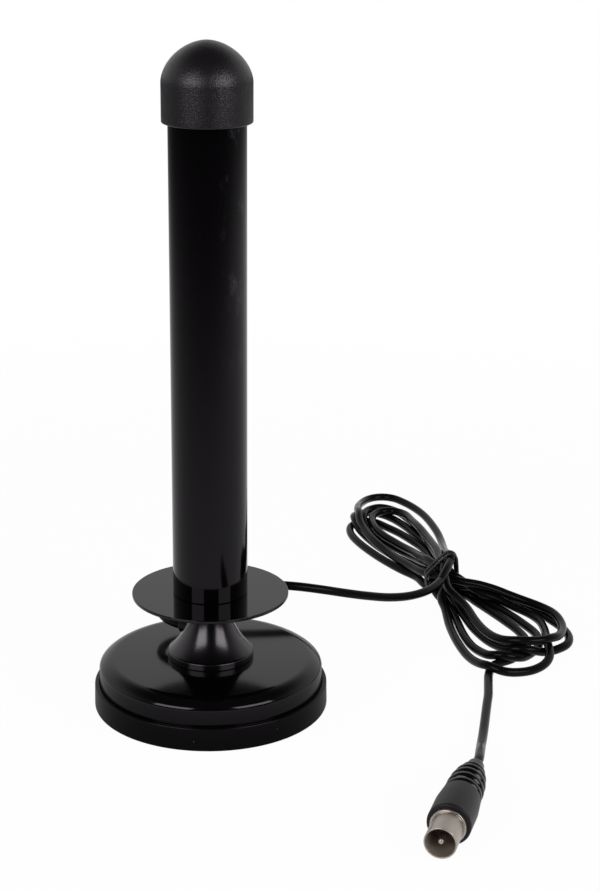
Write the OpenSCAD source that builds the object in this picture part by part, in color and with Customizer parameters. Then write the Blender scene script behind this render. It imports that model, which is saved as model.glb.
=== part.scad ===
// Indoor television antenna: a tube on a thin round disc, carried by a trumpet neck on a round
// magnetic base, with a thin coaxial lead, its tied hank and its aerial plug.
// Millimetres, +Z up, origin at the centre of the base on the surface it stands on.
// The camera side of the object is -Y.

/* [Base] */
// Outer radius of the rubber boot where it meets the surface
boot_r = 37.5; // [36.6:0.1:42]
// How much the boot wall leans in from bottom to top
boot_lean = 0.15; // [0:0.05:0.5]
// Height of the boot, where the seam with the cover lies
boot_h = 7.7; // [6:0.1:9]
// Thickness of the boot's floor
boot_floor = 1.5; // [1:0.1:2]
// Rounding of the boot's outer edges
boot_edge_r = 0.6; // [0.2:0.1:0.7]
// How far the cover's side stands in from the boot's
boot_step = 1.7; // [1.3:0.1:3]
// Wall of the pressed cover
cover_wall = 1.2; // [0.8:0.1:1.6]
// Height of the cover's crown if it ran to the axis
crown_top = 17.32; // [16.5:0.01:20]
// Radius of the crown's nearly flat middle
crown_r = 520; // [300:5:900]
// How far out the crown's middle reaches
crown_flat_r = 20.5; // [16:0.5:24]
// Radius of the crown's falling shoulder
shoulder_r = 36; // [30:0.5:60]
// Radius of the rounding between crown and side
cover_edge_r = 3.5; // [2.5:0.1:5]
// Radius of the flat land that the neck stands on
land_r = 14; // [13.8:0.1:18]
// Outer radius of the magnet ring
magnet_r = 30; // [26:0.5:32]
// Bore radius of the magnet ring
magnet_bore_r = 16; // [10:0.5:18]
// Thickness of the magnet ring
magnet_h = 6; // [4:0.1:6.5]
// Thickness of the steel plate on the magnet
yoke_h = 2; // [1:0.1:2.5]

/* [Neck] */
// Radius of the neck's foot rim
foot_r = 13.75; // [12.5:0.05:13.8]
// Height of the foot rim's upright edge
foot_h = 1.85; // [1.2:0.05:2.5]
// Radius of the neck's throat under the disc
throat_r = 5.9; // [5.5:0.1:7]
// Radius of the trumpet's hollow curve
flare_r = 24; // [22:0.5:27]
// Straight part of the throat under the disc
throat_h = 1.2; // [0.5:0.1:3]
// Radius of the spigot that passes the cover
spigot_r = 7.8; // [7:0.1:9]
// Bore radius down the neck, for the stud and the lead
neck_bore_r = 4; // [3.8:0.05:4.5]
// Height of the lead's side exit
exit_z = 23.5; // [23:0.1:25]
// Direction in which the lead leaves, counted from +X
exit_az = 140; // [130:1:160]

/* [Disc] */
// Height of the disc's top face
disc_top = 38.2; // [36:0.1:42]
// Thickness of the disc
disc_h = 1; // [0.8:0.1:1.5]
// Radius of the disc
disc_r = 24.9; // [20:0.1:30]

/* [Mast] */
// Outer radius of the mast tube
tube_r = 11.85; // [11.4:0.05:12.4]
// Wall of the mast tube
tube_wall = 1.5; // [1:0.1:1.6]
// Outer radius of the end cap and of its dome
cap_r = 13.75; // [13.6:0.05:15]
// Height of the cap's lower rim
cap_rim = 188; // [170:1:210]
// Height of the cap's straight skirt
cap_skirt = 11; // [10:0.1:16]
// Depth of tube inside the cap
cap_grip = 8; // [6:0.1:9]
// Thickness and reach of the cap's stop rib
cap_rib = 1.5; // [1:0.1:1.6]

/* [Inside] */
// Thickness of the foot plug's floor
plug_floor = 3; // [2:0.1:4]
// Height of the foot plug
foot_plug_h = 11.8; // [10:0.1:16]
// Outer radius of the hollow stud
stud_r = 3.9; // [3.5:0.05:3.95]
// Bore radius of the hollow stud
stud_bore_r = 1.9; // [1.8:0.05:2.2]
// How far the stud reaches down into the neck
stud_grip = 6.2; // [5:0.1:6.4]
// Width across the stud nut's flats
nut_flats = 12; // [10:0.1:12]
// Thickness of the stud nut
nut_h = 3; // [2.5:0.1:3.2]
// Width of the element board
board_w = 17.6; // [16.4:0.1:18]
// Thickness of the element board
board_t = 1.6; // [1:0.1:1.6]
// Length of the element board
board_l = 140; // [100:1:142]
// Thickness of the copper on the board
foil_t = 0.2; // [0.1:0.05:0.3]
// Width of the radiator strip
radiator_w = 9; // [6:0.5:14]
// Length of the ground strip
ground_l = 10; // [5:0.5:30]
// Thickness of the foam spacer round the board
spacer_h = 10; // [6:0.5:14]
// How far below the board's upper end the foam spacer starts
spacer_drop = 25; // [12:1:60]
// Shank radius of the screw that holds the base together
screw_r = 2.4; // [2:0.05:2.8]
// Length of the screw's shank
screw_l = 12; // [9:0.1:13]
// Head radius of the base screw
screw_head_r = 4.4; // [4:0.1:5]
// Head height of the base screw
screw_head_h = 2.8; // [2:0.1:3]
// Radius of the washer under the screw's head
washer_r = 6; // [5:0.1:7]
// Thickness of that washer
washer_h = 1; // [0.8:0.1:1.2]

/* [Lead] */
// Diameter of the coaxial lead
cord_d = 3; // [2.8:0.1:3.2]
// Radius of the lead's bend inside the neck
bend_r = 6; // [5.5:0.1:6.2]
// Outer radius of the sleeve in the neck's side exit
sleeve_r = 2.4; // [2.1:0.05:2.6]
// How far from the mast's axis the sleeve ends
sleeve_end = 11.5; // [11:0.1:12.5]
// Height of the hank's lobes
hank_h = 7.5; // [6:0.1:9]
// Height of the top of the hank's bound waist
waist_top = 12.2; // [10.8:0.1:13]
// Thickness of the tie round the waist
tie_t = 0.9; // [0.6:0.1:1.2]

/* [Aerial plug] */
// Outer radius of the plug's contact shell
shell_r = 4.75; // [4.5:0.05:5]
// Wall of the contact shell
shell_wall = 0.45; // [0.3:0.05:0.6]
// Length of shell in front of the plug's body
shell_l = 11; // [9:0.1:13]
// Radius of the collar at the root of the shell
collar_r = 5.3; // [5.1:0.05:5.8]
// Width of that collar
collar_w = 1.3; // [0.8:0.1:2]
// Depth of shell held inside the body
shell_grip = 8; // [5:0.1:10]
// Radius of the pin
pin_r = 1.2; // [1.1:0.05:1.3]
// How far the pin's tip stays behind the shell's mouth
pin_back = 0.8; // [0:0.1:2]
// Depth from the mouth to the insulator
insulator_depth = 9; // [7:0.1:11]
// Thickness of the insulator
insulator_h = 4; // [3:0.1:5]
// Radius of the moulded body at its front
body_r = 6.5; // [6:0.1:7.5]
// Radius of the moulded body at its rear
body_rear_r = 5.9; // [5.75:0.05:6]
// Length of the moulded body
body_l = 20; // [18:0.1:24]
// Rounding of the moulded body's front edge
body_edge_r = 0.6; // [0.3:0.1:1]
// Radius of the largest ring of the strain relief
ring_r = 5.6; // [5:0.05:5.7]
// Radius of the smallest ring of the strain relief
ring_end_r = 3.9; // [3.4:0.05:4.5]
// Number of rings on the strain relief
ring_count = 5; // [3:1:6]
// Distance from one ring to the next
ring_pitch = 3; // [2.6:0.1:3.4]
// Width of the groove between two rings
groove_w = 0.9; // [0.6:0.1:1.2]
// Depth of the groove between two rings
groove_depth = 1; // [0.5:0.1:1.2]
// Length of the strain relief's rounded tail
tail_l = 3.3; // [2.5:0.1:5]

/* [Hidden] */
$fn = 96;
// Gap round a piece that slides into another
slip = 0.1;
// Gap round a piece that drops into another
loose = 0.2;
// Depth by which a cut runs past the face it starts from
past = 1;
// Steps in a quarter turn of a rounded profile
quarter = 8;

// Points of an arc about [x, z], from angle a0 to angle a1
function arc(x, z, r, a0, a1, n = quarter) =
    [for (i = [0 : n]) [x + r * cos(a0 + (a1 - a0) * i / n), z + r * sin(a0 + (a1 - a0) * i / n)]];

// Base heights, from the floor up
yoke_bottom = boot_floor + magnet_h;
yoke_top = yoke_bottom + yoke_h;
washer_bottom = yoke_bottom - washer_h;
cover_r = boot_r - boot_step;
boot_bore_r = cover_r + slip;
boot_top_r = boot_r - boot_lean;
cover_bore_r = cover_r - cover_wall;

// Crown: a nearly flat dome whose centre lies far below, a shoulder tangent to it, and the
// edge rounding tangent to the shoulder
crown_z = crown_top - crown_r;
flat_angle = acos(crown_flat_r / crown_r);
shoulder_x = (crown_r - shoulder_r) * cos(flat_angle);
shoulder_z = crown_z + (crown_r - shoulder_r) * sin(flat_angle);
edge_x = cover_r - cover_edge_r;
edge_z = shoulder_z + sqrt(pow(shoulder_r - cover_edge_r, 2) - pow(edge_x - shoulder_x, 2));
crown_lean = acos((edge_x - shoulder_x) / (shoulder_r - cover_edge_r));
land_z = crown_z + sqrt(pow(crown_r, 2) - pow(land_r, 2));
land_angle = acos(land_r / crown_r);
yoke_r = cover_bore_r - slip;

// Neck: stands on the land, its trumpet ends under the disc
neck_top = disc_top - disc_h;
flare_z = neck_top - throat_h;
rim_z = land_z + foot_h;
rim_round = 0.45;
flare_foot_angle = 180 + asin((flare_z - rim_z - rim_round) / flare_r);
neck_floor = exit_z - cord_d / 2 - 0.5;
stud_bottom = neck_top - stud_grip;

// Lead exit
exit_dir = [cos(exit_az), sin(exit_az), 0];
exit_point = sleeve_end * exit_dir + [0, 0, exit_z];

// Mast
tube_bore_r = tube_r - tube_wall;
tube_top = cap_rim + cap_grip;
cap_bore_r = tube_r + slip;
dome_z = cap_rim + cap_skirt;
cap_wall = cap_r - cap_bore_r;

// Foot plug, stud and board
stud_hole_r = stud_r + slip;
nut_z = disc_top + plug_floor;
nut_corner_r = nut_flats / 2 / cos(30);
recess_r = nut_corner_r + 0.4;
stud_top = nut_z + nut_h + 0.4;
board_z = stud_top + 0.4;
foot_plug_r = tube_bore_r - 0.15;
notch_w = cord_d + 2 * loose;
notch_h = 6;
lead_top = board_z + notch_h;
foil_gap = 2;
board_top = board_z + board_l;
radiator_l = board_l - notch_h - ground_l - 3 * foil_gap;
spacer_z = board_top - spacer_drop;

// The hank: two lobes either side of a bound waist, which the lead enters from the front,
// and a flat at hank_gate, where it leaves
waist = [88.5, 86];
waist_w = 12;
waist_l = 15;
waist_mouth = [90.4, waist[1] - waist_l / 2, 10.7];
hank_gate = [93.2, 10, 1.5];
gate_w = 6;

// Points of the lead between the neck and the hank, on its centre line
lead_in_route = [
    exit_point,
    exit_point + 3 * exit_dir,
    [-13.8, 12.8, 23.6],
    [-15.5, 17.5, 23.9],
    [-15.6, 23, 24.2],
    [-14, 28.5, 24.5],
    [-10.2, 33, 24.8],
    [-4.5, 36, 25],
    [2, 37.3, 25],
    [9, 37.6, 25],
    [16.5, 37.4, 24.9],
    [24, 37, 24.5],
    [32, 37, 23.6],
    [40, 38.2, 21.8],
    [48, 41, 19.2],
    [56, 44.8, 16.2],
    [64, 49.4, 13.4],
    [72, 53.6, 11.5],
    [79, 58, 10.8],
    [83.2, 61.8, 10.7],
    [86.8, 66, 10.7],
    [89.2, 70.4, 10.7],
    waist_mouth - [0, 3, 0],
    waist_mouth,
];
waist_bottom = 1.5;
upper_lobe = [79, 162.5];
upper_lobe_r = 17.5;
lower_lobe = [107, 30];
lower_lobe_r = 19.5;
lobe_neck_r = 5.5;
lobe_neck_off = 9;
tie_w = 2.4;
tie_gap = 0.3;
tie_loop_r = 3.6;

// Aerial plug: lies on its body's side, its mouth at plug_mouth and its tail along plug_az
plug_mouth = [58.3, -110.7];
plug_az = 69;
body_front = shell_l;
body_rear = body_front + body_l;
boot_rear = body_rear + ring_count * ring_pitch + tail_l;
tail_r = cord_d / 2 + 1.1;
plug_dir = [cos(plug_az), sin(plug_az), 0];
boot_end = [plug_mouth[0], plug_mouth[1], body_r] + boot_rear * plug_dir;

// Points of the lead between the hank and the plug, on its centre line
lead_out_route = [
    hank_gate,
    hank_gate - [0, 4, 0],
    [92.5, 1, 1.5],
    [91, -3.5, 1.5],
    [89.2, -12, 1.5],
    [87.2, -21, 1.5],
    [84.9, -30, 1.5],
    [82.6, -38.5, 1.8],
    [80.6, -46, 2.9],
    [79, -54, 5.2],
    boot_end + 4 * plug_dir,
    boot_end,
];

function unit(v) = v / norm(v);
function heading(route, i) =
    i == 0 ? unit(route[1] - route[0])
    : i == len(route) - 1 ? unit(route[i] - route[i - 1])
    : unit(route[i + 1] - route[i - 1]);

// Ring of points about point i of a route, square to its heading
function cord_ring(route, i, sides) =
    let (t = heading(route, i), side = unit(cross(t, [0, 0, 1])), up = cross(side, t))
    [for (k = [0 : sides - 1])
        route[i] + cord_d / 2 * (cos(360 * k / sides) * side + sin(360 * k / sides) * up)];

// Tube along a route: one ring of points at each of its points, closed at both ends
module cord_tube(route, sides = 8) {
    last = len(route) - 1;
    polyhedron(
        points = [for (i = [0 : last]) each cord_ring(route, i, sides)],
        faces = concat(
            [[for (k = [0 : sides - 1]) k]],
            [[for (k = [sides - 1 : -1 : 0]) last * sides + k]],
            [for (i = [0 : last - 1], k = [0 : sides - 1])
                [i * sides + k, (i + 1) * sides + k,
                 (i + 1) * sides + (k + 1) % sides, i * sides + (k + 1) % sides]]
        )
    );
}

// Solid of revolution from a profile of [radius, height] points
module turned(profile) {
    rotate_extrude() polygon(profile);
}

// Places a piece of the plug, drawn along +X from the shell's mouth
module on_plug() {
    translate([plug_mouth[0], plug_mouth[1], body_r])
        rotate([0, 0, plug_az])
            rotate([0, 90, 0])
                children();
}

// Places a piece on the hank's waist, drawn with the bundle along +Y
module on_waist() {
    translate([waist[0], waist[1], 0]) children();
}

// Rubber boot: a shallow cup that the cover's skirt stands in
module base_boot() {
    color([0.09, 0.09, 0.09])
        turned(concat(
            [[0, 0]],
            arc(boot_r - boot_edge_r, boot_edge_r, boot_edge_r, -90, 0, 4),
            arc(boot_top_r - boot_edge_r, boot_h - boot_edge_r, boot_edge_r, 0, 90, 4),
            [[boot_bore_r, boot_h], [boot_bore_r, boot_floor], [0, boot_floor]]
        ));
}

// Ferrite ring that pulls the base to a steel surface
module magnet_ring() {
    color([0.2, 0.2, 0.22])
        translate([0, 0, boot_floor])
            difference() {
                cylinder(r = magnet_r, h = magnet_h);
                translate([0, 0, -past]) cylinder(r = magnet_bore_r, h = magnet_h + 2 * past);
            }
}

// Steel plate on the magnet, which carries the neck
module yoke_plate() {
    color([0.6, 0.6, 0.62])
        translate([0, 0, yoke_bottom])
            difference() {
                cylinder(r = yoke_r, h = yoke_h);
                translate([0, 0, -past]) cylinder(r = screw_r + loose, h = yoke_h + 2 * past);
            }
}

module base_washer() {
    color([0.7, 0.7, 0.72])
        translate([0, 0, washer_bottom])
            difference() {
                cylinder(r = washer_r, h = washer_h);
                translate([0, 0, -past]) cylinder(r = screw_r + loose, h = washer_h + 2 * past);
            }
}

// Socket screw from below, through the plate into the neck's spigot
module base_screw() {
    socket_flats = 3;
    socket_depth = 1.6;
    color([0.7, 0.7, 0.72])
        difference() {
            union() {
                translate([0, 0, washer_bottom - screw_head_h])
                    cylinder(r = screw_head_r, h = screw_head_h);
                translate([0, 0, washer_bottom - past]) cylinder(r = screw_r, h = screw_l + past);
            }
            translate([0, 0, washer_bottom - screw_head_h - past])
                cylinder(r = socket_flats / 2 / cos(30), h = socket_depth + past, $fn = 6);
        }
}

// Pressed cover: nearly flat crown, falling shoulder, rounded edge and straight skirt, all of
// one wall
module base_cover() {
    spigot_hole_r = spigot_r + loose;
    color([0.04, 0.04, 0.045])
        turned(concat(
            [[spigot_hole_r, land_z - cover_wall], [spigot_hole_r, land_z]],
            arc(0, crown_z, crown_r, land_angle, flat_angle, 2),
            arc(shoulder_x, shoulder_z, shoulder_r, flat_angle, crown_lean, 6),
            arc(edge_x, edge_z, cover_edge_r, crown_lean, 0),
            [[cover_r, boot_floor], [cover_bore_r, boot_floor]],
            arc(edge_x, edge_z, cover_edge_r - cover_wall, 0, crown_lean),
            arc(shoulder_x, shoulder_z, shoulder_r - cover_wall, crown_lean, flat_angle, 6),
            arc(0, crown_z, crown_r - cover_wall, flat_angle, land_angle, 2)
        ));
}

// Trumpet neck: one turned piece with its spigot, foot rim, flare and throat
module neck() {
    color([0.05, 0.05, 0.055])
        difference() {
            turned(concat(
                [[0, yoke_top], [spigot_r, yoke_top], [spigot_r, land_z], [foot_r, land_z]],
                arc(foot_r - rim_round, rim_z, rim_round, 0, 90, 4),
                arc(throat_r + flare_r, flare_z, flare_r, flare_foot_angle, 180, 16),
                [[throat_r, neck_top], [0, neck_top]]
            ));
            translate([0, 0, neck_floor])
                cylinder(r = neck_bore_r, h = neck_top - neck_floor + past);
            translate([0, 0, exit_z])
                rotate([0, 90, exit_az])
                    cylinder(r = sleeve_r + slip, h = foot_r);
            translate([0, 0, yoke_top - past])
                cylinder(r = screw_r + slip, h = screw_l - yoke_h - washer_h + 2 * past);
        }
}

// Short sleeve that lines the side exit and stands proud of the flare
module exit_sleeve() {
    sleeve_bore_r = cord_d / 2 + slip;
    mouth_round = 0.4;
    color([0.06, 0.06, 0.06])
        translate([0, 0, exit_z])
            rotate([0, 90, exit_az])
                turned(concat(
                    [[sleeve_bore_r, bend_r], [sleeve_r, bend_r]],
                    arc(sleeve_r - mouth_round, sleeve_end - mouth_round, mouth_round, 0, 90, 4),
                    [[sleeve_bore_r, sleeve_end]]
                ));
}

// Hollow stud that the lead runs through, from the neck into the foot plug
module tube_stud() {
    color([0.75, 0.68, 0.4])
        translate([0, 0, stud_bottom])
            difference() {
                cylinder(r = stud_r, h = stud_top - stud_bottom);
                translate([0, 0, -past])
                    cylinder(r = stud_bore_r, h = stud_top - stud_bottom + 2 * past);
            }
}

// Thin round disc between neck and mast
module flange_disc() {
    color([0.04, 0.04, 0.045])
        translate([0, 0, neck_top])
            difference() {
                cylinder(r = disc_r, h = disc_h);
                translate([0, 0, -past]) cylinder(r = stud_hole_r, h = disc_h + 2 * past);
            }
}

// Plug in the foot of the tube: floor for the nut, wall with a slot each side for the board
module foot_plug() {
    color([0.15, 0.15, 0.16])
        difference() {
            translate([0, 0, disc_top]) cylinder(r = foot_plug_r, h = foot_plug_h);
            translate([0, 0, disc_top - past]) cylinder(r = stud_hole_r, h = plug_floor + 2 * past);
            translate([0, 0, nut_z]) cylinder(r = recess_r, h = foot_plug_h);
            translate([-board_w / 2 - loose, -board_t / 2 - loose, board_z])
                cube([board_w + 2 * loose, board_t + 2 * loose, foot_plug_h]);
        }
}

module stud_nut() {
    color([0.75, 0.68, 0.4])
        translate([0, 0, nut_z])
            difference() {
                cylinder(r = nut_corner_r, h = nut_h, $fn = 6);
                translate([0, 0, -past]) cylinder(r = stud_hole_r, h = nut_h + 2 * past);
            }
}

// Plastic tube over the antenna element
module mast_tube() {
    color([0.03, 0.03, 0.035])
        translate([0, 0, disc_top])
            difference() {
                cylinder(r = tube_r, h = tube_top - disc_top);
                translate([0, 0, -past])
                    cylinder(r = tube_bore_r, h = tube_top - disc_top + 2 * past);
            }
}

// Domed cap: skirt over the tube, stop rib on the tube's end, hemisphere above
module end_cap() {
    rim_edge = 0.4;
    color([0.12, 0.12, 0.12])
        turned(concat(
            [[cap_bore_r, tube_top], [cap_bore_r, cap_rim], [cap_r - rim_edge, cap_rim]],
            [[cap_r, cap_rim + rim_edge]],
            arc(0, dome_z, cap_r, 0, 90, 16),
            arc(0, dome_z, cap_r - cap_wall, 90, 0, 16),
            [[cap_bore_r, tube_top + cap_rib], [tube_bore_r, tube_top + cap_rib]],
            [[tube_bore_r, tube_top]]
        ));
}

// Board that carries the antenna element, notched for the lead's end
module element_board() {
    color([0.1, 0.4, 0.2])
        difference() {
            translate([-board_w / 2, -board_t / 2, board_z]) cube([board_w, board_t, board_l]);
            translate([-notch_w / 2, -board_t / 2 - past, board_z - past])
                cube([notch_w, board_t + 2 * past, notch_h + past]);
        }
}

module radiator_strip() {
    strip_z = board_top - foil_gap - radiator_l;
    color([0.8, 0.5, 0.3])
        translate([-radiator_w / 2, -board_t / 2 - foil_t, strip_z])
            cube([radiator_w, foil_t, radiator_l]);
}

module ground_strip() {
    strip_w = board_w - 2 * foil_gap;
    strip_z = lead_top + foil_gap;
    color([0.8, 0.5, 0.3])
        translate([-strip_w / 2, board_t / 2, strip_z])
            cube([strip_w, foil_t, ground_l]);
}

// Foam disc that keeps the board's upper end off the tube
module board_spacer() {
    spacer_r = tube_bore_r - slip;
    slot_t = board_t + 2 * foil_t + 2 * loose;
    color([0.85, 0.85, 0.82])
        translate([0, 0, spacer_z])
            difference() {
                cylinder(r = spacer_r, h = spacer_h);
                translate([-board_w / 2 - loose, -slot_t / 2, -past])
                    cube([board_w + 2 * loose, slot_t, spacer_h + 2 * past]);
            }
}

// The lead inside the object: down the stud, round the bend and out through the sleeve
module inner_lead() {
    bend_z = exit_z + bend_r;
    color([0.07, 0.07, 0.07])
        rotate([0, 0, exit_az]) {
            translate([0, 0, bend_z]) cylinder(d = cord_d, h = lead_top - bend_z);
            translate([bend_r, 0, bend_z])
                rotate([-90, 0, 180])
                    rotate_extrude(angle = 90)
                        translate([bend_r, 0]) circle(d = cord_d);
            translate([bend_r, 0, exit_z])
                rotate([0, 90, 0])
                    cylinder(d = cord_d, h = sleeve_end - bend_r);
        }
}

module lead_in_cord() {
    color([0.07, 0.07, 0.07]) cord_tube(lead_in_route);
}

// One lobe of the hank's outline: round at its far end, narrow at the waist, with what leaves it
module lobe(centre, r, side) {
    lobe_fn = 32;
    hull() {
        translate(centre) circle(r = r, $fn = lobe_fn);
        translate([waist[0], waist[1] + side * lobe_neck_off])
            circle(r = lobe_neck_r, $fn = lobe_fn);
        children();
    }
}

// Outer shape of the wound lead: two lobes on the surface and the bound waist between them
module cord_hank() {
    color([0.07, 0.07, 0.07])
        difference() {
            union() {
                linear_extrude(height = hank_h) {
                    lobe(upper_lobe, upper_lobe_r, 1);
                    lobe(lower_lobe, lower_lobe_r, -1)
                        translate([hank_gate[0] - gate_w / 2, hank_gate[1]]) square(gate_w);
                }
                on_waist()
                    translate([-waist_w / 2, -waist_l / 2, waist_bottom])
                        cube([waist_w, waist_l, waist_top - waist_bottom]);
            }
            on_waist()
                translate([-waist_w / 2 - past, -tie_w / 2 - tie_gap, -past])
                    cube([waist_w + 2 * past, tie_w + 2 * tie_gap, waist_bottom + past]);
        }
}

// Covered wire tie: a band round the waist with a loop standing off its side
module twist_tie() {
    inner_w = waist_w + 2 * tie_gap;
    inner_top = waist_top + tie_gap;
    inner_bottom = waist_bottom - tie_gap;
    color([0.05, 0.05, 0.05])
        on_waist() {
            difference() {
                translate([-inner_w / 2 - tie_t, -tie_w / 2, inner_bottom - tie_t])
                    cube([inner_w + 2 * tie_t, tie_w, inner_top - inner_bottom + 2 * tie_t]);
                translate([-inner_w / 2, -tie_w / 2 - past, inner_bottom])
                    cube([inner_w, tie_w + 2 * past, inner_top - inner_bottom]);
            }
            translate([inner_w / 2 + tie_t, 0, inner_top - tie_loop_r - tie_t])
                rotate([90, 0, 0])
                    rotate([0, 0, -90])
                        rotate_extrude(angle = 180)
                            translate([tie_loop_r, 0]) circle(d = tie_t, $fn = 24);
        }
}

module lead_out_cord() {
    color([0.07, 0.07, 0.07]) cord_tube(lead_out_route);
}

// Strain relief: rings of falling size with grooves between them, and a rounded tail
module plug_boot() {
    ring_step = (ring_r - ring_end_r) / (ring_count - 1);
    ring_w = ring_pitch - groove_w;
    ring_edge = 0.45;
    color([0.09, 0.09, 0.09])
        on_plug()
            turned(concat(
                [[0, body_rear]],
                [for (i = [0 : ring_count - 1])
                    let (x = body_rear + i * ring_pitch, r = ring_r - i * ring_step)
                    each concat(
                        [[r - groove_depth, x], [r - groove_depth, x + groove_w]],
                        arc(r - ring_edge, x + groove_w + ring_edge, ring_edge, -90, 0, 3),
                        arc(r - ring_edge, x + groove_w + ring_w - ring_edge, ring_edge, 0, 90, 3)
                    )],
                [[ring_end_r - groove_depth, boot_rear - tail_l]],
                arc(tail_r - 1, boot_rear - 1, 1, 0, 90, 4),
                [[0, boot_rear]]
            ));
}

// Moulded plug body, with the bore that holds the shell
module plug_body() {
    straight = body_l * 0.62;
    color([0.16, 0.16, 0.17])
        on_plug()
            turned(concat(
                [[shell_r + slip, body_front]],
                arc(body_r - body_edge_r, body_front + body_edge_r, body_edge_r, -90, 0, 4),
                [[body_r, body_front + straight], [body_rear_r, body_rear]],
                [[0, body_rear], [0, body_front + shell_grip]],
                [[shell_r + slip, body_front + shell_grip]]
            ));
}

// Plated contact shell with its collar against the body's face
module plug_shell() {
    lip = 0.15;
    color([0.72, 0.69, 0.64])
        on_plug()
            turned([
                [shell_r - shell_wall, lip],
                [shell_r - shell_wall + lip, 0],
                [shell_r - lip, 0],
                [shell_r, lip],
                [shell_r, body_front - collar_w],
                [collar_r, body_front - collar_w],
                [collar_r, body_front],
                [shell_r, body_front],
                [shell_r, body_front + shell_grip],
                [shell_r - shell_wall, body_front + shell_grip],
            ]);
}

module plug_insulator() {
    color([0.75, 0.7, 0.6])
        on_plug()
            translate([0, 0, insulator_depth])
                difference() {
                    cylinder(r = shell_r - shell_wall - slip, h = insulator_h);
                    translate([0, 0, -past]) cylinder(r = pin_r + slip, h = insulator_h + 2 * past);
                }
}

// Round contact pin with a rounded tip
module plug_pin() {
    tip_r = 0.5;
    pin_end = insulator_depth + insulator_h + 2;
    color([0.8, 0.78, 0.72])
        on_plug()
            turned(concat(
                [[0, pin_back]],
                arc(pin_r - tip_r, pin_back + tip_r, tip_r, -90, 0, 4),
                [[pin_r, pin_end], [0, pin_end]]
            ));
}

base_boot();
magnet_ring();
yoke_plate();
base_washer();
base_screw();
base_cover();
neck();
exit_sleeve();
tube_stud();
flange_disc();
foot_plug();
stud_nut();
mast_tube();
end_cap();
element_board();
radiator_strip();
ground_strip();
board_spacer();
inner_lead();
lead_in_cord();
cord_hank();
twist_tie();
lead_out_cord();
plug_boot();
plug_body();
plug_shell();
plug_insulator();
plug_pin();
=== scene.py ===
"""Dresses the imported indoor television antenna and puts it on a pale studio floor.

Everything is in metres in the row frame. Lists of millimetres are scaled where they are used.
"""

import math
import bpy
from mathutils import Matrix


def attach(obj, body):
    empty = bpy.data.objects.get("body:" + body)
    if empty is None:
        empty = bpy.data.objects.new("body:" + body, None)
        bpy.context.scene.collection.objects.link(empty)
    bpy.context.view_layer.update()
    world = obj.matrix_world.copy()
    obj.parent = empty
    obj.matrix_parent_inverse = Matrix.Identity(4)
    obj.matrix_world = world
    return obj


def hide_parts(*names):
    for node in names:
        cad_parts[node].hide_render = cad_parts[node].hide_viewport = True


bl_info = {
    "name": "Indoor antenna studio",
    "version": (1, 0, 0),
    "blender": (4, 5, 0),
    "location": "View3D > Sidebar > Antenna",
    "description": "Lead, hank, tie, finishes and studio for the packed indoor antenna",
    "category": "Object",
}

from types import SimpleNamespace

import bpy
import numpy as np
from bpy.props import FloatProperty, FloatVectorProperty, IntProperty, PointerProperty
from mathutils import Matrix, Vector

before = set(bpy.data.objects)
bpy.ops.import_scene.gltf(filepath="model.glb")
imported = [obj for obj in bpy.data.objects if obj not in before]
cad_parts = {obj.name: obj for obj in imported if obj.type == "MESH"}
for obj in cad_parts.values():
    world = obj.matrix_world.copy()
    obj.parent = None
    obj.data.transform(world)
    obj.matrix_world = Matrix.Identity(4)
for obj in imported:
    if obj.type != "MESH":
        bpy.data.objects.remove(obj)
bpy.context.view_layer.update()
MM = 0.001
BODY = "root"
WHITE, BLACK = (1, 1, 1, 1), (0, 0, 0, 1)

# Route of the lead from its exit in the neck to the hank, in millimetres
LEAD_IN = [
    (-8.809, 7.392, 23.5), (-11.107, 9.32, 23.5), (-13.8, 12.8, 23.6), (-15.5, 17.5, 23.9),
    (-15.6, 23, 24.2), (-14, 28.5, 24.5), (-10.2, 33, 24.8), (-4.5, 36, 25), (2, 37.3, 25),
    (9, 37.6, 25), (16.5, 37.4, 24.9), (24, 37, 24.5), (32, 37, 23.6), (40, 38.2, 21.8),
    (48, 41, 19.2), (56, 44.8, 16.4), (64, 49.2, 13.8), (71.6, 54, 12.1), (78, 59.4, 11.3),
    (82.4, 65, 11), (85.8, 71, 11), (88.4, 77, 11),
]
# Route from beneath the hank to the plug's boot
LEAD_OUT = [
    (92.4, 8.3, 1.5), (91.6, 3.7, 1.5), (90.8, -1, 1.5), (89.9, -6, 1.5), (88.5, -12, 1.5),
    (86.9, -19, 1.5), (85, -27.4, 1.5), (83, -36, 1.7), (81, -44.5, 2.7), (79.2, -53, 4.9),
    (77.4, -60.94, 6.5), (75.967, -64.675, 6.5),
]
# Middle of the hank's waist in plan, and how far to its sides a strand still counts as in it
WAIST = (88.5, 86.0)
WAIST_REACH = 9
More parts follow.
